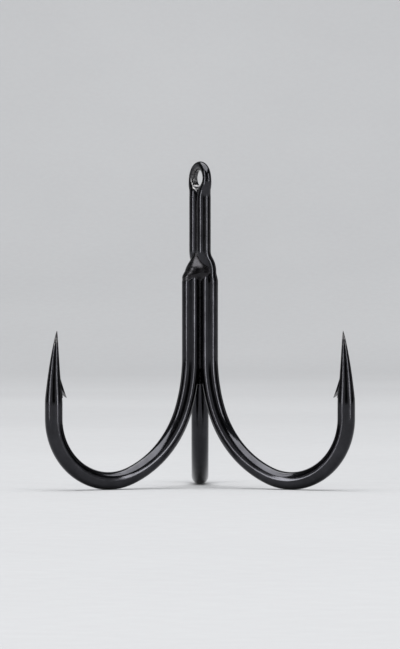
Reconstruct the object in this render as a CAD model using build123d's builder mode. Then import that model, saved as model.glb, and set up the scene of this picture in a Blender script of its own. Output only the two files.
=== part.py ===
from build123d import *
from math import asin, atan2, cos, degrees, radians, sin, sqrt, tan
import os

# A treble fishing hook: one double hook bent from a single wire, which also forms the
# eye, one single hook laid between its arms, and the brazing filler that joins them.
# Frame: the eye's centre is the origin, +Z runs up the shank, the eye's hole runs
# along Y, and the single hook's arm points to -Y. Millimetres.

# Driving sizes
hook_length = 16.75  # top of the eye to the bottom of the bends
gape_r = 8.5  # shank axis to the middle of an arm's leg
wire_d = 0.9  # wire in the lower shank, the bends and the legs
point_height = 8.05  # tips of the points above the bottom of the bends
eye_hole_d = 1.0  # the hole that takes a split ring
arms = 3

# Shares of the driving sizes
eye_wire_share = 0.5  # the wire is drawn thinner towards the eye
neck_wire_share = 0.8
lap_share = 0.663  # how much of the length the single hook reaches up
low_bend_share = 0.376  # radius of the bend under the leg, as a share of the gape
main_bend_share = 0.641  # radius of the bend that comes down from the shank
straight_leg_share = 0.2  # how much of the leg keeps the full wire
barb_share = 0.235  # height of the barb's tip on the leg
step_share = 1.15  # height of the step between shank and neck, in wire diameters
taper_share = 0.6  # length of each taper, in wire diameters
throat_share = 1.5  # radius of the arcs under the eye, as a share of the ring's
eye_thin_share = 0.2  # how far above its middle the ring has thinned out, as a share of its radius
eye_slices = 24

# Bends: how far each arc turns, in degrees
low_bend_overrun = 22  # how far the leg's bend carries on past the lowest point
shank_turn = 18  # what is left for the long arc at the top

# Fits
braze_gap = 0.06  # between neighbouring wires, filled by the braze
eye_land = 0.02  # how deep the forming pin flattens the inside of the eye's top

# Points and barbs
tip_d = 0.05
point_fullness = 0.8  # below 1 the point is fuller than a plain cone
point_slices = 4
tip_offset_share = 0.2  # how far the tip leans in, in wire diameters
barb_rise_share = 0.3  # how far the barb's tip stands off the leg, in wire diameters
barb_r_share = 0.267  # roundness of the raised sliver, in wire diameters
barb_flank_share = 0.85  # of the point's radius, where the sliver runs out
barb_length_share = 0.295  # of the leg's height
notch_depth_share = 0.144  # how deep the cut under the barb goes, in wire diameters
notch_height_share = 0.444  # how far the cut reaches up under the barb, in wire diameters
notch_lead_share = 0.244  # how far below the barb's tip the cut starts, in wire diameters

# Braze
meniscus_share = 0.222  # radius of the hollow fillets between the wires, in wire diameters
collar_share = 0.81  # filler round the single hook's cut end, as a share of the shank's reach
collar_top_share = 0.345
collar_drop_share = 0.333  # how far the collar starts below the cut end, in wire diameters
collar_height_share = 1.11
crotch_share = 0.51  # the drop of filler where the shanks part, in wire diameters
crotch_drop_share = 1.0  # how far it hangs below the straight shanks, in wire diameters
lap_bevel = 30  # slope of the single hook's cut end, in degrees

# Worked out
wire_r = wire_d / 2
eye_wire_d = eye_wire_share * wire_d
eye_wire_r = eye_wire_d / 2
neck_wire_d = neck_wire_share * wire_d
neck_wire_r = neck_wire_d / 2
eye_ring_r = eye_hole_d / 2 - eye_land + eye_wire_r
shank_pitch_r = (wire_d + braze_gap) / sqrt(arms)
neck_x = (neck_wire_d + braze_gap) / 2
bottom_z = eye_ring_r + eye_wire_r - hook_length
lap_z = bottom_z + lap_share * hook_length
taper_length = taper_share * wire_d
step_height = step_share * wire_d

throat_r = throat_share * eye_ring_r
throat_drop = sqrt((eye_ring_r + throat_r) ** 2 - (neck_x + throat_r) ** 2)
throat_turn = degrees(asin(throat_drop / (eye_ring_r + throat_r)))
throat_z = -throat_drop
eye_thin_z = eye_thin_share * eye_ring_r

low_bend_r = low_bend_share * gape_r
main_bend_r = main_bend_share * gape_r
knee_turn = 90 - low_bend_overrun
shank_shift = (
    gape_r
    - shank_pitch_r
    - low_bend_r * (1 + cos(radians(knee_turn)))
    - main_bend_r * (cos(radians(shank_turn)) - cos(radians(knee_turn)))
)
shank_bend_r = shank_shift / (1 - cos(radians(shank_turn)))
leg_start_z = bottom_z + wire_r + low_bend_r
shank_end_z = (
    bottom_z
    + wire_r
    + low_bend_r * (1 - sin(radians(knee_turn)))
    + main_bend_r * (sin(radians(knee_turn)) - sin(radians(shank_turn)))
    + shank_bend_r * sin(radians(shank_turn))
)
tip_z = bottom_z + point_height
leg_height = tip_z - leg_start_z
tip_offset = tip_offset_share * wire_d
barb_rise = barb_rise_share * wire_d
barb_r = barb_r_share * wire_d
barb_length = barb_length_share * leg_height
notch_depth = notch_depth_share * wire_d
notch_height = notch_height_share * wire_d
notch_lead = notch_lead_share * wire_d
full_leg_z = leg_start_z + straight_leg_share * leg_height
barb_z = leg_start_z + barb_share * leg_height

meniscus_r = meniscus_share * wire_d
shank_reach = shank_pitch_r + wire_r
collar_r = collar_share * shank_reach
collar_top_r = collar_top_share * shank_reach
collar_drop = collar_drop_share * wire_d
collar_height = collar_height_share * wire_d
crotch_r = crotch_share * wire_d
braze_foot_z = shank_end_z - crotch_drop_share * wire_d

single_turn = 270  # where the single hook's arm points, in degrees round +Z
double_turns = (30, 150)


def arm_plane(turn):
    """The upright plane of one arm: local x runs out from the shank's axis, local y is +Z."""
    across = (sin(radians(turn)), -cos(radians(turn)), 0)
    return Plane((0, 0, 0), x_dir=(cos(radians(turn)), sin(radians(turn)), 0), z_dir=across)


def point_radius(share):
    """Radius of the ground point, from the full wire (share 0) to its tip (share 1)."""
    return tip_d / 2 + (wire_r - tip_d / 2) * (1 - share) ** point_fullness


def add_round(plane, out, height, radius):
    """One round slice across an arm's leg, this far out from the shank's axis and this high."""
    middle = plane.from_local_coords((out, height, 0))
    with BuildSketch(Plane((middle.X, middle.Y, middle.Z))) as slice_sketch:
        Circle(radius)
    return slice_sketch.sketch


def add_point(plane):
    """A slender ground point that leans in towards the shank."""
    rings = []
    for i in range(point_slices + 1):
        share = i / point_slices
        height = full_leg_z + (tip_z - full_leg_z) * share
        rings.append(add_round(plane, gape_r - tip_offset * share**2, height, point_radius(share)))
    loft(sections=rings)


def add_barb(plane):
    """A sliver of the leg raised towards the shank, with the cut that raised it below."""
    flank_z = barb_z + barb_length
    flank_r = barb_flank_share * point_radius((flank_z - full_leg_z) / (tip_z - full_leg_z))
    inside = gape_r - wire_r
    sliver_foot = add_round(plane, inside - barb_rise + barb_r, barb_z, barb_r)
    sliver_top = add_round(plane, gape_r, flank_z, flank_r)
    loft(sections=[sliver_foot, sliver_top])
    with BuildSketch(plane) as notch:
        with BuildLine():
            Polyline(
                (inside - barb_rise, barb_z),
                (inside + notch_depth, barb_z + notch_height),
                (inside, barb_z - notch_lead),
                (inside - barb_rise, barb_z - notch_lead),
                close=True,
            )
        make_face()
    extrude(notch.sketch, amount=wire_r, both=True, mode=Mode.SUBTRACT)


def add_arm(turn, shank_top_z):
    """A straight shank, a bend in three tangent arcs and a leg of full wire, then the point."""
    plane = arm_plane(turn)
    with BuildLine(plane) as route:
        shank = Line((shank_pitch_r, shank_top_z), (shank_pitch_r, shank_end_z))
        upper = JernArc(shank @ 1, shank % 1, shank_bend_r, shank_turn)
        middle = JernArc(upper @ 1, upper % 1, main_bend_r, knee_turn - shank_turn)
        lower = JernArc(middle @ 1, middle % 1, low_bend_r, 90 + low_bend_overrun)
        Line(lower @ 1, (lower @ 1) + Vector(0, 0, full_leg_z - leg_start_z))
    with BuildSketch(Plane(shank @ 0, z_dir=shank % 0)) as section:
        Circle(wire_r)
    sweep(sections=section.sketch, path=route.line)
    add_point(plane)
    add_barb(plane)


def add_wire(route, radius):
    """Round wire of one thickness along a route."""
    with BuildSketch(Plane(route @ 0, z_dir=route % 0)) as section:
        Circle(radius)
    sweep(sections=section.sketch, path=route)


def add_taper(turn):
    """The top of an arm's shank, where the wire is drawn thinner upwards."""
    with Locations(arm_plane(turn).from_local_coords((shank_pitch_r, lap_z - taper_length, 0))):
        Cone(wire_r, neck_wire_r, taper_length, align=(Align.CENTER, Align.CENTER, Align.MIN))


def add_step(side):
    """The S-shaped step from a place in the shank to a place in the neck."""
    foot = arm_plane(double_turns[0]).from_local_coords((shank_pitch_r, lap_z, 0))
    foot = Vector(side * foot.X, foot.Y, foot.Z)
    across = Vector(side * neck_x, 0, lap_z) - foot
    plane = Plane(foot, x_dir=across, z_dir=across.cross(Vector(0, 0, 1)))
    half_turn = 2 * degrees(atan2(across.length, step_height))
    radius = (step_height**2 + across.length**2) / (4 * across.length)
    with BuildLine(plane) as route:
        lower = JernArc((0, 0), (0, 1), radius, -half_turn)
        JernArc(lower @ 1, lower % 1, radius, half_turn)
    add_wire(route.line, neck_wire_r)


def eye_radius(height):
    """Radius of the wire round the eye, which thins out smoothly upwards from the neck."""
    share = min(1, (height - throat_z) / (eye_thin_z - throat_z))
    return neck_wire_r + (eye_wire_r - neck_wire_r) * share**2 * (3 - 2 * share)


def add_eye():
    """The ring, drawn in to the two wires of the neck by an arc on each side."""
    with BuildLine(Plane.XZ) as route:
        turn_out = JernArc((neck_x, throat_z), (0, 1), throat_r, -throat_turn)
        ring = JernArc(turn_out @ 1, turn_out % 1, eye_ring_r, 180 + 2 * throat_turn)
        JernArc(ring @ 1, ring % 1, throat_r, -throat_turn)
    slices = []
    for i in range(eye_slices + 1):
        middle = route.line @ (i / eye_slices)
        across = Plane(middle, x_dir=(0, 1, 0), z_dir=route.line % (i / eye_slices))
        with BuildSketch(across) as slice_sketch:
            Circle(eye_radius(max(throat_z, middle.Z)))
        slices.append(slice_sketch.sketch)
    loft(sections=slices)
    Cylinder(eye_hole_d / 2, wire_d, rotation=(90, 0, 0), mode=Mode.SUBTRACT)


with BuildPart() as double_hook:
    add_eye()  # first, so that its bore is cut in the ring alone
    for turn in double_turns:
        add_arm(turn, lap_z - taper_length)
        add_taper(turn)
    for side in (1, -1):
        add_step(side)
        with BuildLine() as neck:
            Line((side * neck_x, 0, lap_z + step_height), (side * neck_x, 0, throat_z))
        add_wire(neck.line, neck_wire_r)

with BuildPart() as single_hook:
    add_arm(single_turn, lap_z)
    with BuildSketch(Plane.YZ) as bevel:
        with BuildLine():
            Polyline(
                (-shank_pitch_r - wire_r, lap_z - wire_d * tan(radians(lap_bevel))),
                (-shank_pitch_r + wire_r, lap_z),
                (-shank_pitch_r - wire_r, lap_z),
                close=True,
            )
        make_face()
    extrude(amount=wire_r, both=True, mode=Mode.SUBTRACT)


def hollow_fillet(centre_a, centre_b, radius, inside):
    """The arc of filler that touches two round wires, on the side away from a point inside."""
    apart = (centre_b - centre_a).length
    middle = (centre_a + centre_b) * 0.5
    out = (middle - inside).normalized()
    reach = sqrt((radius + meniscus_r) ** 2 - (apart / 2) ** 2)
    hollow = middle + out * reach
    ends = [c + (hollow - c).normalized() * radius for c in (centre_a, centre_b)]
    return ThreePointArc(ends[0], hollow - out * meniscus_r, ends[1])


def joined(arcs):
    """Straight lines from each arc to the next, hidden inside the wires."""
    for i, arc in enumerate(arcs):
        Line(arc @ 1, arcs[(i + 1) % len(arcs)] @ 0)


with BuildPart() as braze:
    shank_middles = [
        Vector(shank_pitch_r * cos(radians(turn)), shank_pitch_r * sin(radians(turn)))
        for turn in (double_turns[0], double_turns[1], single_turn)
    ]
    with BuildSketch(Plane.XY.offset(braze_foot_z)):
        with BuildLine():
            joined([
                hollow_fillet(shank_middles[i], shank_middles[(i + 1) % arms], wire_r, Vector(0, 0))
                for i in range(arms)
            ])
        make_face()
    extrude(amount=lap_z - braze_foot_z)
    with BuildSketch(Plane.XY.offset(lap_z)):
        with BuildLine():
            neck_middles = [Vector(neck_x, 0), Vector(-neck_x, 0)]
            joined([
                hollow_fillet(neck_middles[0], neck_middles[1], neck_wire_r, Vector(0, -wire_r)),
                hollow_fillet(neck_middles[1], neck_middles[0], neck_wire_r, Vector(0, wire_r)),
            ])
        make_face()
    extrude(amount=throat_z - lap_z)
    with Locations((0, 0, lap_z - collar_drop)):
        Cone(collar_r, collar_top_r, collar_height, align=(Align.CENTER, Align.CENTER, Align.MIN))
    with Locations((0, 0, braze_foot_z)):
        Sphere(crotch_r)
    add([double_hook.part, single_hook.part], mode=Mode.SUBTRACT)


os.makedirs("parts", exist_ok=True)
for name, piece in (("double_hook", double_hook), ("single_hook", single_hook), ("braze", braze)):
    piece.part.label = name
    export_step(piece.part, f"parts/{name}.step")
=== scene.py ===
from math import asin, atan2, cos, pi, radians, sin, sqrt, tan

import bmesh
import bpy
import numpy as np
from mathutils import Matrix, Vector, kdtree


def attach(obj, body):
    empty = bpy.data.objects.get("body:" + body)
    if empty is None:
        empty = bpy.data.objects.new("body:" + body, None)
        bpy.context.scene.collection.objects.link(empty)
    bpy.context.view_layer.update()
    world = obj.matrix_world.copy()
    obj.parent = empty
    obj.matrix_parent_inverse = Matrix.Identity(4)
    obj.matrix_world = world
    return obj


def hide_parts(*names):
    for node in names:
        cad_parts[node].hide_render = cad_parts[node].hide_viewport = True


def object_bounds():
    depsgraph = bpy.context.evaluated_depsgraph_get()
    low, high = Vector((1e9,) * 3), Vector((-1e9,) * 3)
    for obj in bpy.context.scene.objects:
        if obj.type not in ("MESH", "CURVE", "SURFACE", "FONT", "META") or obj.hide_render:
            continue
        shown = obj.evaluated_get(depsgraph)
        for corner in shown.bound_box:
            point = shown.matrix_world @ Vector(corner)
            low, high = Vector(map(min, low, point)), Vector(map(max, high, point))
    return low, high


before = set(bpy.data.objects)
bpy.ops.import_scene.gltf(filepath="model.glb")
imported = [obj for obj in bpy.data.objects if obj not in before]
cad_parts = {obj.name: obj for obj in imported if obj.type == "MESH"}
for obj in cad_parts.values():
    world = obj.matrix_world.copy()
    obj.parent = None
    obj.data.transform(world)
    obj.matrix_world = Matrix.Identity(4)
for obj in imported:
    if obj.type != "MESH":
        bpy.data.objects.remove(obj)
cad_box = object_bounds()

# A treble hook. One wire makes the double hook and its eye, a second makes the single hook,
# and brazing filler joins them. All three are plated with black chrome.
# The pieces are built in millimetres in the CAD's frame and scaled to metres when they are
# done: the eye's centre is the origin, +Z runs up the shank, the eye's hole runs along Y,
# and the single hook's arm points to -Y.
MM = 0.001

# Driving sizes, as in the CAD
hook_length = 16.75
gape_r = 8.5
wire_r = 0.45
point_height = 8.05
eye_hole_r = 0.5
arm_turns = (radians(30), radians(150))
single_turn = radians(270)
knee_turn = radians(68)
shank_turn = radians(18)
braze_gap = 0.06
eye_land = 0.02
lap_bevel = radians(30)

# Worked out, as in the CAD
wire_d = 2 * wire_r
eye_wire_r = 0.5 * wire_r
neck_wire_r = 0.8 * wire_r
low_bend_r = 0.376 * gape_r
main_bend_r = 0.641 * gape_r
shank_pitch_r = (wire_d + braze_gap) / sqrt(3)
neck_x = neck_wire_r + braze_gap / 2
ring_r = eye_hole_r - eye_land + eye_wire_r
bottom_z = ring_r + eye_wire_r - hook_length
lap_z = bottom_z + 0.663 * hook_length
taper_length = 0.6 * wire_d
step_height = 1.15 * wire_d
throat_r = 1.5 * ring_r
throat_drop = sqrt((ring_r + throat_r) ** 2 - (neck_x + throat_r) ** 2)
throat_turn = asin(throat_drop / (ring_r + throat_r))
eye_thin_z = 0.2 * ring_r
shank_shift = (
    gape_r
    - shank_pitch_r
    - low_bend_r * (1 + cos(knee_turn))
    - main_bend_r * (cos(shank_turn) - cos(knee_turn))
)
shank_bend_r = shank_shift / (1 - cos(shank_turn))
leg_start_z = bottom_z + wire_r + low_bend_r
shank_end_z = (
    bottom_z
    + wire_r
    + low_bend_r * (1 - sin(knee_turn))
    + main_bend_r * (sin(knee_turn) - sin(shank_turn))
    + shank_bend_r * sin(shank_turn)
)
tip_z = bottom_z + point_height
leg_height = tip_z - leg_start_z
full_leg_z = leg_start_z + 0.2 * leg_height
inside_r = gape_r - wire_r  # from the shank's axis to the inside of a leg

# Points and barbs
tip_r = 0.012
tip_offset = 0.2 * wire_d
point_fullness = 0.8
barb_z = leg_start_z + 0.235 * leg_height
barb_rise = 0.3 * wire_d
barb_r = 0.267 * wire_d
barb_length = 0.295 * leg_height
barb_flank_share = 0.85
barb_bow = 0.9  # below 1 the sliver bows away from the leg
notch_depth = 0.144 * wire_d
notch_height = 0.444 * wire_d
notch_lead = 0.244 * wire_d
chisel_clearance = 0.05
sheared_length = 1.2  # how much of the single hook's top takes up the slope of its cut end
# The rounded rim of the cut end: share of its radius, and how far it lies below the face
cut_rim = ((0.8, 0), (0.86, 0.002), (0.91, 0.006), (0.95, 0.014), (0.98, 0.026), (0.996, 0.042))

# Filler
crotch_r = 0.51 * wire_d
braze_foot_z = shank_end_z - wire_d
braze_top_z = 0.12 - throat_drop
braze_inset = 0.016  # how far the filler lies inside the wires where it only covers them
fillet_width = 0.26
top_round = 0.3
wetting = 4  # how steeply the filler climbs the wires at its top
wetting_reach = 0.17
filler_core_r = 0.05
closing_start = 0.3  # how far below the single hook's end the filler starts to close over it
closing_length = 0.75
closing_lean = 0.75  # how far towards the axis it closes, as a share
closing_fillet = 0.12
collar_start = 0.7  # how far below the single hook's end its collar starts
collar_rise = 0.6
collar_fade = 1
collar_y = -0.12
collar_core_r = 0.25
collar_swell = 0.42
collar_fillet = 0.3
collar_least_fillet = 0.02
collar_least = 0.01

# Wear, as lengths over which it fades and as strengths
grind_fade = 0.5
tip_wear_length = 1.1
barb_wear_start, barb_wear_fade = 0.08, 0.1
foot_wear_height = 0.16
bore_wear_start, bore_wear_fade = 0.06, 0.1
tip_wear, barb_wear, foot_wear, bore_wear = 0.9, 0.8, 0.5, 0.6

# Mesh detail
around_wire = 64
around_braze = 176
wire_step = 0.06
step_step = 0.03
eye_step = 0.02
leg_step = 0.03
around_sliver = 48
sliver_rings = 25
shoulder_window = 25
braze_rings = 230
foot_rings = 16
top_rings = 18
cap_turn = 0.02  # how far from the axis a rounded end's last ring stays, in radians
search_reach = 1.25
search_steps = 251
plating = 0.003  # the skin lies this much inside the CAD's, whose facets cut its box short
sharp_edge = radians(38)


def smoothstep(share):
    share = np.clip(share, 0, 1)
    return share * share * (3 - 2 * share)


def new_object(name, mesh):
    obj = bpy.data.objects.new(name, mesh)
    bpy.context.scene.collection.objects.link(obj)
    return obj


def mesh_from(name, fill):
    """A mesh made by a function that adds its faces to an empty bmesh."""
    bm = bmesh.new()
    fill(bm)
    bmesh.ops.recalc_face_normals(bm, faces=bm.faces)
    mesh = bpy.data.meshes.new(name)
    bm.to_mesh(mesh)
    bm.free()
    return mesh


def skin(bm, rings):
    """Faces between neighbouring rings of corners."""
    rows = [[bm.verts.new(corner) for corner in ring] for ring in rings.tolist()]
    for low, high in zip(rows, rows[1:]):
        for i in range(len(low)):
            j = (i + 1) % len(low)
            bm.faces.new((low[i], low[j], high[j], high[i]))
    return rows


def closed_skin(name, rings, first_middle, last_middle):
    """A mesh over rings of corners, closed at each end round a middle corner."""

    def fill(bm):
        rows = skin(bm, rings)
        for row, middle in ((rows[0][::-1], first_middle), (rows[-1], last_middle)):
            tip = bm.verts.new(middle)
            for i in range(len(row)):
                bm.faces.new((row[i], row[(i + 1) % len(row)], tip))

    return mesh_from(name, fill)


def baked(obj):
    """Applies the object's modifiers to its mesh."""
    graph = bpy.context.evaluated_depsgraph_get()
    mesh = bpy.data.meshes.new_from_object(obj.evaluated_get(graph))
    obj.modifiers.clear()
    obj.data = mesh


def corners_of(mesh):
    corners = np.empty(3 * len(mesh.vertices))
    mesh.vertices.foreach_get("co", corners)
    return corners.reshape(-1, 3)


def store(mesh, name, values):
    """Keeps a number or a vector for every corner, for the materials to read."""
    if values.ndim == 2:
        kept = mesh.attributes.new(name, "FLOAT_VECTOR", "POINT")
        kept.data.foreach_set("vector", values.astype(np.float32).ravel())
    else:
        kept = mesh.attributes.new(name, "FLOAT", "POINT")
        kept.data.foreach_set("value", np.clip(values, 0, 1).astype(np.float32))


def finish_mesh(mesh):
    """To metres, and smooth except where a tool left an edge."""
    mesh.transform(Matrix.Scale(MM, 4))
    mesh.shade_smooth()
    mesh.set_sharp_from_angle(angle=sharp_edge)
    mesh.update()


# Wires


class Route:
    """A wire's centreline, laid out by straight runs and arcs."""

    def __init__(self, start, heading):
        self.points = [Vector(start)]
        self.heading = Vector(heading).normalized()

    def run(self, length, step=wire_step):
        count = max(2, round(length / step))
        start = self.points[-1]
        self.points += [start + self.heading * (length * (i + 1) / count) for i in range(count)]

    def arc(self, radius, turn, axis, step=wire_step):
        """Turns by this angle about an axis, by the right-hand rule."""
        axis = Vector(axis).normalized()
        spoke = axis.cross(self.heading) * (-radius if turn > 0 else radius)
        centre = self.points[-1] - spoke
        count = max(6, round(radius * abs(turn) / step))
        self.points += [
            centre + Matrix.Rotation(turn * (i + 1) / count, 3, axis) @ spoke for i in range(count)
        ]
        self.heading = Matrix.Rotation(turn, 3, axis) @ self.heading


def arm_axes(turn):
    """Directions out along an arm and across it."""
    return Vector((cos(turn), sin(turn), 0)), Vector((sin(turn), -cos(turn), 0))


def point_radius(share):
    """Radius of the ground point, from the full wire (share 0) to its tip (share 1)."""
    return tip_r + (wire_r - tip_r) * (1 - share) ** point_fullness


def add_arm(route, turn):
    """The rest of the shank, the bend in three tangent arcs, and the leg up to its tip."""
    out, across = arm_axes(turn)
    route.run(route.points[-1].z - shank_end_z)
    route.arc(shank_bend_r, shank_turn, across)
    route.arc(main_bend_r, knee_turn - shank_turn, across)
    route.arc(low_bend_r, pi - knee_turn, across)
    route.run(full_leg_z - leg_start_z, leg_step)
    count = round((tip_z - full_leg_z) / leg_step)
    for i in range(1, count + 1):
        share = i / count
        height = full_leg_z + (tip_z - full_leg_z) * share
        route.points.append(out * (gape_r - tip_offset * share**2) + Vector((0, 0, height)))


def half_of_double():
    """From the top of the eye down one wire of the neck and out along its arm."""
    out, _ = arm_axes(arm_turns[0])
    along_hole = Vector((0, 1, 0))
    route = Route((0, 0, ring_r), (1, 0, 0))
    route.arc(ring_r, pi / 2 + throat_turn, along_hole, eye_step)
    route.arc(throat_r, -throat_turn, along_hole, eye_step)
    route.run(route.points[-1].z - lap_z - step_height)
    step = out * shank_pitch_r + Vector((0, 0, lap_z)) - route.points[-1]
    reach = Vector((step.x, step.y, 0))
    half_turn = 2 * atan2(reach.length, step_height)
    radius = (step_height**2 + reach.length**2) / (4 * reach.length)
    axis = Vector((0, 0, -1)).cross(reach)
    route.arc(radius, half_turn, axis, step_step)
    route.arc(radius, -half_turn, axis, step_step)
    add_arm(route, arm_turns[0])
    return route.points


def double_points():
    """The whole wire, from one tip over the eye to the other."""
    half = half_of_double()
    other_half = [Vector((-p.x, p.y, p.z)) for p in half]
    return other_half[::-1] + half[1:]


def single_points():
    out, _ = arm_axes(single_turn)
    route = Route(out * shank_pitch_r + Vector((0, 0, lap_z)), (0, 0, -1))
    add_arm(route, single_turn)
    return route.points


class Centreline:
    """Points, tangents and two cross directions that are carried along without twist."""

    def __init__(self, points):
        self.points = np.array([tuple(p) for p in points])
        self.tangent = np.gradient(self.points, axis=0)
        self.tangent /= np.linalg.norm(self.tangent, axis=1)[:, None]
        self.normal = np.zeros_like(self.points)
        carried = np.cross(self.tangent[0], (0.3, 1.0, 0.2))
        for i, tangent in enumerate(self.tangent):
            carried = carried - tangent * (carried @ tangent)
            carried = carried / np.linalg.norm(carried)
            self.normal[i] = carried
        self.side = np.cross(self.tangent, self.normal)
        lengths = np.linalg.norm(np.diff(self.points, axis=0), axis=1)
        self.along = np.concatenate([[0], np.cumsum(lengths)])
        reach = np.hypot(self.points[:, 0], self.points[:, 1])
        self.in_leg = reach > gape_r - low_bend_r

    def rings(self, radii):
        turns = np.linspace(0, 2 * pi, around_wire, endpoint=False)
        circle = (
            self.normal[:, None, :] * np.cos(turns)[None, :, None]
            + self.side[:, None, :] * np.sin(turns)[None, :, None]
        )
        return self.points[:, None, :] + circle * (radii[:, None, None] - plating)

    def tip(self, end, before):
        """A little past one end of the line."""
        return tuple(self.points[end] + 0.4 * (self.points[end] - self.points[before]))

    def straightened(self, corners):
        """Where each corner would be if the wire were straight and lay along Z."""
        tree = kdtree.KDTree(len(self.points))
        for i, point in enumerate(self.points):
            tree.insert(point, i)
        tree.balance()
        near = np.array([tree.find(corner)[1] for corner in corners])
        offset = corners - self.points[near]
        return np.stack(
            [
                (offset * self.normal[near]).sum(1),
                (offset * self.side[near]).sum(1),
                self.along[near] + (offset * self.tangent[near]).sum(1),
            ],
            axis=1,
        )


def leg_radii(line):
    """The full wire, then the ground point, with the shoulder between them rounded."""
    share = np.clip((line.points[:, 2] - full_leg_z) / (tip_z - full_leg_z), 0, 1)
    radii = np.where(line.in_leg, point_radius(share), wire_r)
    window = np.hanning(shoulder_window)
    padded = np.pad(radii, len(window) // 2, "edge")
    rounded = np.convolve(padded, window / window.sum(), "valid")
    near_shoulder = smoothstep((radii / wire_r - 0.5) / 0.3)
    return radii + (np.minimum(rounded, radii) - radii) * near_shoulder


def drawn_radius(height):
    """Radius of the double hook's wire above its bends, which is drawn thinner towards the eye."""
    to_neck = smoothstep((height - lap_z + taper_length) / taper_length)
    to_eye = smoothstep((height + throat_drop) / (eye_thin_z + throat_drop))
    return wire_r + (neck_wire_r - wire_r) * to_neck + (eye_wire_r - neck_wire_r) * to_eye


def cut_barb(obj, turn):
    """Raises a sliver of the leg towards the shank, and cuts under it with a chisel's wedge."""
    out, across = arm_axes(turn)
    up = Vector((0, 0, 1))
    flank_z = barb_z + barb_length
    flank_r = barb_flank_share * point_radius((flank_z - full_leg_z) / (tip_z - full_leg_z))
    foot_reach = inside_r - barb_rise + barb_r
    rings = []
    for share in np.linspace(0, 1, sliver_rings):
        radius = barb_r + (flank_r - barb_r) * share
        reach = foot_reach + (gape_r - foot_reach) * share**barb_bow
        middle = out * reach + up * (barb_z + barb_length * share)
        rings.append([
            tuple(middle + (out * cos(a) + across * sin(a)) * radius)
            for a in np.linspace(0, 2 * pi, around_sliver, endpoint=False)
        ])
    foot, top = out * foot_reach + up * barb_z, out * gape_r + up * flank_z
    sliver = new_object("sliver", closed_skin("sliver", np.array(rings), foot, top))

    beyond = inside_r - barb_rise - chisel_clearance
    wedge = (
        (beyond, barb_z - chisel_clearance),
        (inside_r - barb_rise, barb_z),
        (inside_r + notch_depth, barb_z + notch_height),
        (inside_r, barb_z - notch_lead),
        (beyond, barb_z - notch_lead),
    )

    def fill(bm):
        ends = [
            [bm.verts.new(out * x + up * z + across * side) for x, z in wedge]
            for side in (-wire_d, wire_d)
        ]
        rows = list(zip(*ends))
        for (a, b), (c, d) in zip(rows, rows[1:] + rows[:1]):
            bm.faces.new((a, c, d, b))
        for end in ends:
            bm.faces.new(end)

    chisel = new_object("chisel", mesh_from("chisel", fill))
    for tool, operation in ((sliver, "UNION"), (chisel, "DIFFERENCE")):
        change = obj.modifiers.new(tool.name, "BOOLEAN")
        change.operation = operation
        change.solver = "EXACT"
        change.object = tool
    baked(obj)
    for tool in (sliver, chisel):
        bpy.data.objects.remove(tool)


def mark_wear(mesh, corners):
    """Stores where a wire was ground, and where its plating is thin or rubbed."""
    height = corners[:, 2]
    reach = np.hypot(corners[:, 0], corners[:, 1])
    in_leg = (reach > inside_r - barb_rise - chisel_clearance) & (height > leg_start_z)
    ground = in_leg * smoothstep((height - full_leg_z) / grind_fade)
    tip = in_leg * smoothstep((height - tip_z + tip_wear_length) / tip_wear_length)
    barb = in_leg * smoothstep((inside_r - reach - barb_wear_start) / barb_wear_fade)
    foot = smoothstep((bottom_z + foot_wear_height - height) / foot_wear_height)
    in_eye = height > -ring_r
    from_bore = ring_r - bore_wear_start - np.hypot(corners[:, 0], height)
    bore = in_eye * smoothstep(from_bore / bore_wear_fade)
    store(mesh, "ground", ground)
    store(mesh, "wear", tip_wear * tip + barb_wear * barb + foot_wear * foot + bore_wear * bore)


def finish_wire(obj, line, turns):
    for turn in turns:
        cut_barb(obj, turn)
    corners = corners_of(obj.data)
    store(obj.data, "drawn", line.straightened(corners))
    mark_wear(obj.data, corners)
    finish_mesh(obj.data)
    return obj


def build_double():
    line = Centreline(double_points())
    radii = np.where(line.in_leg, leg_radii(line), drawn_radius(line.points[:, 2]))
    rings = line.rings(radii)
    # the forming pin presses the inside of the ring round
    from_axis = np.hypot(rings[..., 0], rings[..., 2])
    pressed = (rings[..., 2] > -ring_r) & (from_axis < eye_hole_r)
    push = eye_hole_r / np.where(pressed, from_axis, eye_hole_r)
    rings[..., 0] *= push
    rings[..., 2] *= push
    mesh = closed_skin("double_wire", rings, line.tip(0, 1), line.tip(-1, -2))
    return finish_wire(new_object("double_wire", mesh), line, arm_turns)


def build_single():
    line = Centreline(single_points())
    rings = line.rings(leg_radii(line))
    # the top of the wire is sheared to the slope of its cut end
    sheared_z = lap_z - sheared_length
    cut_z = lap_z + (rings[..., 1] + shank_pitch_r - wire_r) * tan(lap_bevel)
    near_end = (rings[..., 2] > sheared_z) & ~line.in_leg[:, None]
    share = (rings[..., 2] - sheared_z) / (lap_z - sheared_z)
    rings[..., 2] = np.where(near_end, sheared_z + share * (cut_z - sheared_z), rings[..., 2])
    middle = np.array([0, -shank_pitch_r, lap_z - wire_r * tan(lap_bevel)])
    rim = [middle + (rings[0] - middle) * spread - (0, 0, drop) for spread, drop in cut_rim]
    rings = np.concatenate([rim, rings[2:]])
    mesh = closed_skin("single_wire", rings, middle, line.tip(-1, -2))
    return finish_wire(new_object("single_wire", mesh), line, (single_turn,))


# Filler


def joined(a, b, width):
    """The smaller of two distances, with a hollow fillet of this width where they meet."""
    overlap = np.maximum(width - np.abs(a - b), 0) / width
    return np.minimum(a, b) - overlap**2 * width / 4


def neck_line():
    """The right-hand wire of the double hook from its throat to the top of its bend, upwards."""
    line = np.array([tuple(p) for p in half_of_double()])
    in_eye = np.argmax(line[:, 2] < -throat_drop)
    in_bend = np.argmax(np.hypot(line[:, 0], line[:, 1]) > shank_pitch_r + 1)
    return line[in_eye:in_bend][::-1]


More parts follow.
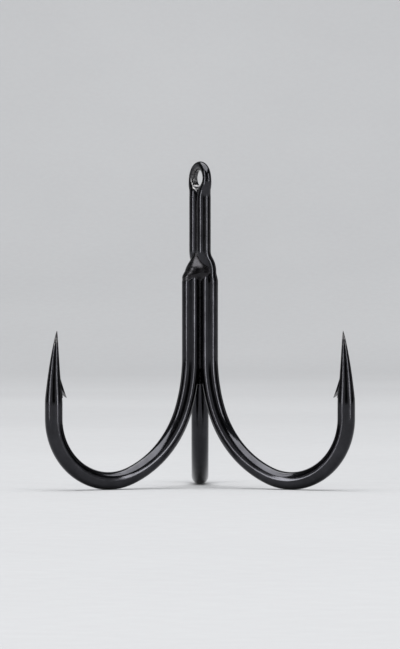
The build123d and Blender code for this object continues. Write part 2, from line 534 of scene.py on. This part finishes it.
def single_reach(height):
    """How far the single hook's middle stands from the axis, where its bend begins."""
    below = max(0, shank_end_z - height)
    return shank_pitch_r + shank_bend_r - sqrt(shank_bend_r**2 - below**2)


def filler_gap(x, y, height, neck):
    """Distance from the filled-in outline of the wires at one height."""
    wire_x, wire_y = (np.interp(height, neck[:, 2], neck[:, i]) for i in (0, 1))
    radius = drawn_radius(height)
    right = np.hypot(x - wire_x, y - wire_y) - radius
    left = np.hypot(x + wire_x, y - wire_y) - radius
    gap = joined(right, left, fillet_width)
    # the single hook ends here, and the filler closes over its cut end
    covered = smoothstep((height - lap_z + closing_start) / closing_length)
    if covered < 1:
        single_y = single_reach(height) * (1 - closing_lean * covered)
        single = np.hypot(x, y + single_y) - wire_r * (1 - covered)
        gap = joined(gap, single, fillet_width + closing_fillet * covered * (1 - covered))
    # the collar that ran up round the cut end
    collar = smoothstep((height - lap_z + collar_start) / collar_rise)
    collar *= 1 - smoothstep((height - lap_z) / collar_fade)
    if collar > collar_least:
        swelling = np.hypot(x, y - collar_y) - collar_core_r - collar_swell * collar
        gap = joined(gap, swelling, collar_fillet * collar + collar_least_fillet)
    return gap


def filler_reach(turns, height, neck):
    """How far the filler reaches from the axis in every direction at one height."""
    reach = np.linspace(0, search_reach, search_steps)
    x, y = np.cos(turns)[:, None] * reach, np.sin(turns)[:, None] * reach
    depth = -braze_inset - filler_gap(x, y, height, neck)
    inside = depth > 0
    last = len(reach) - 1 - np.argmax(inside[:, ::-1], axis=1)
    last = np.where(inside.any(1), np.minimum(last, len(reach) - 2), 0)
    row = np.arange(len(turns))
    here, beyond = depth[row, last], depth[row, last + 1]
    share = np.clip(here / np.where(here == beyond, 1, here - beyond), 0, 1)
    found = reach[last] + share * (reach[1] - reach[0])
    found = np.where(inside.any(1), found, filler_core_r)
    if height < braze_foot_z:
        found = np.minimum(found, sqrt(1 - ((braze_foot_z - height) / crotch_r) ** 2))
    if height > braze_top_z - top_round:
        found = found * sqrt(1 - ((height - braze_top_z) / top_round + 1) ** 2)
    return found


def build_braze():
    """Filler drawn in between the wires, from a drop where they part up to the throat."""
    neck = neck_line()
    foot_z = braze_foot_z - crotch_r
    heights = np.concatenate([
        foot_z + crotch_r * (1 - np.cos(np.linspace(cap_turn, pi / 2, foot_rings))),
        np.linspace(braze_foot_z, braze_top_z - top_round, braze_rings)[1:],
        braze_top_z - top_round * (1 - np.sin(np.linspace(0, pi / 2 - cap_turn, top_rings)))[1:],
    ])
    turns = np.linspace(0, 2 * pi, around_braze, endpoint=False)
    rings = []
    for height in heights:
        found = filler_reach(turns, height, neck)
        ring = [found * np.cos(turns), found * np.sin(turns), np.full_like(turns, height)]
        rings.append(np.stack(ring, 1))
    rings = np.array(rings)
    climb = smoothstep((rings[..., 2] - braze_top_z + top_round) / top_round)
    rings[..., 2] += wetting * climb * np.minimum(np.abs(rings[..., 0]), wetting_reach) ** 2
    mesh = closed_skin("braze_filler", rings, (0, 0, foot_z), (0, 0, braze_top_z))
    obj = new_object("braze_filler", mesh)
    smooth = obj.modifiers.new("smooth", "SMOOTH")
    smooth.iterations = 2
    baked(obj)
    store(obj.data, "drawn", corners_of(obj.data))
    finish_mesh(obj.data)
    return obj


# Looks

chrome_dark, chrome_light = (0.03, 0.03, 0.033), (0.045, 0.045, 0.05)
chrome_rubbed, chrome_pit = (0.235, 0.23, 0.225), (0.03, 0.03, 0.033)
filler_dark, filler_light = (0.026, 0.025, 0.027), (0.046, 0.045, 0.048)
filler_pit = (0.022, 0.021, 0.022)
board_dark, board_light = (0.30, 0.303, 0.31), (0.32, 0.323, 0.33)
felt_dark, felt_light = (0.008, 0.008, 0.009), (0.02, 0.02, 0.022)


class Look:
    """A material, with short calls for its nodes."""

    def __init__(self, name):
        self.material = bpy.data.materials.new(name)
        self.material.use_nodes = True
        self.nodes = self.material.node_tree.nodes
        self.nodes.clear()
        self.shader = self.node("ShaderNodeBsdfPrincipled")
        output = self.node("ShaderNodeOutputMaterial")
        self.link(self.shader.outputs["BSDF"], output.inputs["Surface"])

    def node(self, kind, **values):
        made = self.nodes.new(kind)
        for name, value in values.items():
            setattr(made, name, value)
        return made

    def link(self, source, target):
        self.material.node_tree.links.new(source, target)

    def attribute(self, name, output="Fac"):
        return self.node("ShaderNodeAttribute", attribute_name=name).outputs[output]

    def place(self):
        return self.node("ShaderNodeTexCoord").outputs["Object"]

    def stretched(self, vector, scale):
        mapping = self.node("ShaderNodeMapping")
        mapping.inputs["Scale"].default_value = scale
        self.link(vector, mapping.inputs["Vector"])
        return mapping.outputs["Vector"]

    def noise(self, vector, scale=1, detail=4, roughness=0.55):
        made = self.node("ShaderNodeTexNoise")
        made.inputs["Scale"].default_value = scale
        made.inputs["Detail"].default_value = detail
        made.inputs["Roughness"].default_value = roughness
        self.link(vector, made.inputs["Vector"])
        return made.outputs["Fac"]

    def mapped(self, value, low, high, to_low=0, to_high=1):
        made = self.node("ShaderNodeMapRange")
        made.inputs["From Min"].default_value = low
        made.inputs["From Max"].default_value = high
        made.inputs["To Min"].default_value = to_low
        made.inputs["To Max"].default_value = to_high
        self.link(value, made.inputs["Value"])
        return made.outputs["Result"]

    def maths(self, operation, a, b):
        made = self.node("ShaderNodeMath", operation=operation)
        self.link(a, made.inputs[0])
        if isinstance(b, float):
            made.inputs[1].default_value = b
        else:
            self.link(b, made.inputs[1])
        return made.outputs["Value"]

    def added(self, *values):
        total = values[0]
        for value in values[1:]:
            total = self.maths("ADD", total, value)
        return total

    def mixed(self, share, a, b):
        made = self.node("ShaderNodeMix", data_type="RGBA")
        self.link(share, made.inputs["Factor"])
        for socket, value in ((made.inputs[6], a), (made.inputs[7], b)):
            if isinstance(value, tuple):
                socket.default_value = (*value, 1)
            else:
                self.link(value, socket)
        return made.outputs[2]

    def bump(self, height, metres, strength, under=None):
        made = self.node("ShaderNodeBump")
        made.inputs["Distance"].default_value = metres
        made.inputs["Strength"].default_value = strength
        self.link(height, made.inputs["Height"])
        if under:
            self.link(under, made.inputs["Normal"])
        return made.outputs["Normal"]

    def finish(self, colour, roughness, normal, metallic):
        self.shader.inputs["Metallic"].default_value = metallic
        self.link(colour, self.shader.inputs["Base Color"])
        self.link(roughness, self.shader.inputs["Roughness"])
        self.link(normal, self.shader.inputs["Normal"])
        return self.material


def plated_wire():
    """Black chrome over drawn steel wire, thinner where it is ground or rubbed."""
    look = Look("black_chrome_wire")
    drawn = look.attribute("drawn", "Vector")
    cloud = look.noise(drawn, 1.1, 5)
    orange_peel = look.noise(drawn, 14, 3)
    draw_lines = look.noise(look.stretched(drawn, (26, 26, 0.5)), detail=5, roughness=0.65)
    wheel_marks = look.noise(look.stretched(drawn, (3, 3, 42)), detail=4, roughness=0.7)
    pits = look.mapped(look.noise(drawn, 34, 2), 0.70, 0.78)
    patches = look.mapped(look.noise(drawn, 7, 6, 0.7), 0.42, 0.62)
    rubbed = look.maths("MULTIPLY", look.attribute("wear"), patches)
    ground = look.maths("MULTIPLY", look.attribute("ground"), wheel_marks)

    tone = look.mixed(look.mapped(cloud, 0.35, 0.68), chrome_dark, chrome_light)
    colour = look.mixed(rubbed, tone, chrome_rubbed)
    colour = look.mixed(pits, colour, chrome_pit)
    roughness = look.added(
        look.mapped(draw_lines, 0.3, 0.7, 0.06, 0.15),
        look.mapped(cloud, 0.4, 0.7, 0, 0.05),
        look.maths("MULTIPLY", rubbed, 0.12),
        look.maths("MULTIPLY", pits, 0.3),
    )
    normal = look.bump(draw_lines, 0.000002, 0.4)
    normal = look.bump(orange_peel, 0.000003, 0.3, normal)
    normal = look.bump(ground, 0.000006, 0.6, normal)
    normal = look.bump(pits, -0.000006, 0.5, normal)
    return look.finish(colour, roughness, normal, metallic=1)


def plated_braze():
    """The same plating over filler that froze with fine ripples and pores, so it is duller."""
    look = Look("black_chrome_braze")
    place = look.attribute("drawn", "Vector")
    cloud = look.noise(place, 2.3, 5)
    ripples = look.noise(look.stretched(place, (5, 5, 8)), detail=6, roughness=0.6)
    pits = look.mapped(look.noise(place, 22, 2), 0.66, 0.76)
    tone = look.mixed(look.mapped(cloud, 0.35, 0.68), filler_dark, filler_light)
    colour = look.mixed(pits, tone, filler_pit)
    normal = look.bump(ripples, 0.000016, 0.6)
    normal = look.bump(pits, -0.000012, 0.6, normal)
    return look.finish(colour, look.mapped(ripples, 0.3, 0.7, 0.16, 0.34), normal, metallic=1)


def pale_board():
    """Pale matt board with a faint grain."""
    look = Look("pale_board")
    grain = look.noise(look.place(), 900)
    cloud = look.noise(look.place(), 14, 3)
    colour = look.mixed(look.mapped(cloud, 0.3, 0.7), board_dark, board_light)
    normal = look.bump(grain, 0.00002, 0.3)
    return look.finish(colour, look.mapped(grain, 0.3, 0.7, 0.75, 0.9), normal, metallic=0)


def dark_felt():
    """Dark matt felt for the cards that the hook mirrors."""
    look = Look("dark_felt")
    fibre = look.noise(look.place(), 400, 5)
    colour = look.mixed(fibre, felt_dark, felt_light)
    normal = look.bump(fibre, 0.0005, 0.5)
    return look.finish(colour, look.mapped(fibre, 0.3, 0.7, 0.9, 1), normal, metallic=0)


# Stage, in metres. The photograph looks from azimuth 60, level with the hook.
view_azimuth = 60
camera_distance = 0.222
lens = 240
floor_z = cad_box[0][2]
middle = Vector((0, 0, (cad_box[0][2] + cad_box[1][2]) / 2))


def towards(azimuth, elevation=0):
    """Direction from the hook. Azimuth 0 is the -Y side, as for the camera."""
    az, el = radians(azimuth), radians(elevation)
    return Vector((sin(az) * cos(el), -cos(az) * cos(el), sin(el)))


def build_floor():
    """A floor that curves up into a low wall all round, so that it has no edge from any side."""
    flat_r, curve_r, wall_z = 0.5, 0.3, 0.42
    profile = [(r, 0) for r in np.linspace(0.02, flat_r, 8)]
    profile += [
        (flat_r + curve_r * sin(a), curve_r * (1 - cos(a))) for a in np.linspace(0, pi / 2, 20)[1:]
    ]
    profile.append((flat_r + curve_r, wall_z))
    turns = np.linspace(0, 2 * pi, 128, endpoint=False)
    rings = np.array([[(r * cos(t), r * sin(t), floor_z + z) for t in turns] for r, z in profile])

    def fill(bm):
        bm.faces.new(skin(bm, rings)[0])

    mesh = mesh_from("floor", fill)
    mesh.shade_smooth()
    mesh.materials.append(pale_board())
    new_object("floor", mesh)


def build_card(name, turn, width, felt):
    """A dark card out of view for the hook to mirror."""
    distance, low_z, height = 0.36, floor_z + 0.012, 0.3
    out, across = towards(view_azimuth + turn), towards(view_azimuth + turn + 90)

    def fill(bm):
        corners = ((-width / 2, 0), (width / 2, 0), (width / 2, height), (-width / 2, height))
        bm.faces.new([
            bm.verts.new(out * distance + across * x + Vector((0, 0, low_z + z)))
            for x, z in corners
        ])

    mesh = mesh_from(name, fill)
    mesh.materials.append(felt)
    card = new_object(name, mesh)
    card.visible_camera = False
    card.visible_shadow = False
    card.visible_diffuse = False


def soft_box(name, turn, elevation, distance, size, power):
    light = bpy.data.lights.new(name, "AREA")
    light.shape = "RECTANGLE"
    light.size, light.size_y = size
    light.energy = power
    lamp = new_object(name, light)
    lamp.location = middle + distance * towards(view_azimuth + turn, elevation)
    lamp.rotation_euler = (middle - lamp.location).to_track_quat("-Z", "Y").to_euler()
    lamp.visible_camera = False


def build_camera():
    data = bpy.data.cameras.new("camera")
    data.lens = lens
    data.clip_start = 0.005
    data.clip_end = 5
    camera = new_object("camera", data)
    camera.location = middle + camera_distance * towards(view_azimuth)
    camera.rotation_euler = (middle - camera.location).to_track_quat("-Z", "Y").to_euler()
    bpy.context.scene.camera = camera


wire_look = plated_wire()
for piece, node, slot, look in (
    (build_double(), "double_hook", "double_wire", wire_look),
    (build_single(), "single_hook", "single_wire", wire_look),
    (build_braze(), "braze", "braze", plated_braze()),
):
    piece.data.materials.clear()
    piece.data.materials.append(look)
    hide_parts(node)
    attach(piece, "root")

build_floor()
build_camera()
felt = dark_felt()
for side, (turn, width) in {
    "front": (0, 0.24),
    "right": (92, 0.2),
    "left": (-96, 0.2),
    "back_right": (140, 0.14),
    "back_left": (-144, 0.14),
}.items():
    build_card("card_" + side, turn, width, felt)
soft_box("overhead", -20, 84, 0.95, (1.3, 1.3), 28)
soft_box("right_strip", 52, 12, 0.28, (0.035, 0.24), 0.28)
soft_box("left_strip", -58, 12, 0.28, (0.035, 0.24), 0.28)

world = bpy.data.worlds.new("room")
world.use_nodes = True
background = world.node_tree.nodes["Background"]
background.inputs["Color"].default_value = (0.9, 0.95, 1.0, 1)
background.inputs["Strength"].default_value = 0.15
bpy.context.scene.world = world
bpy.context.scene.view_settings.view_transform = "Standard"
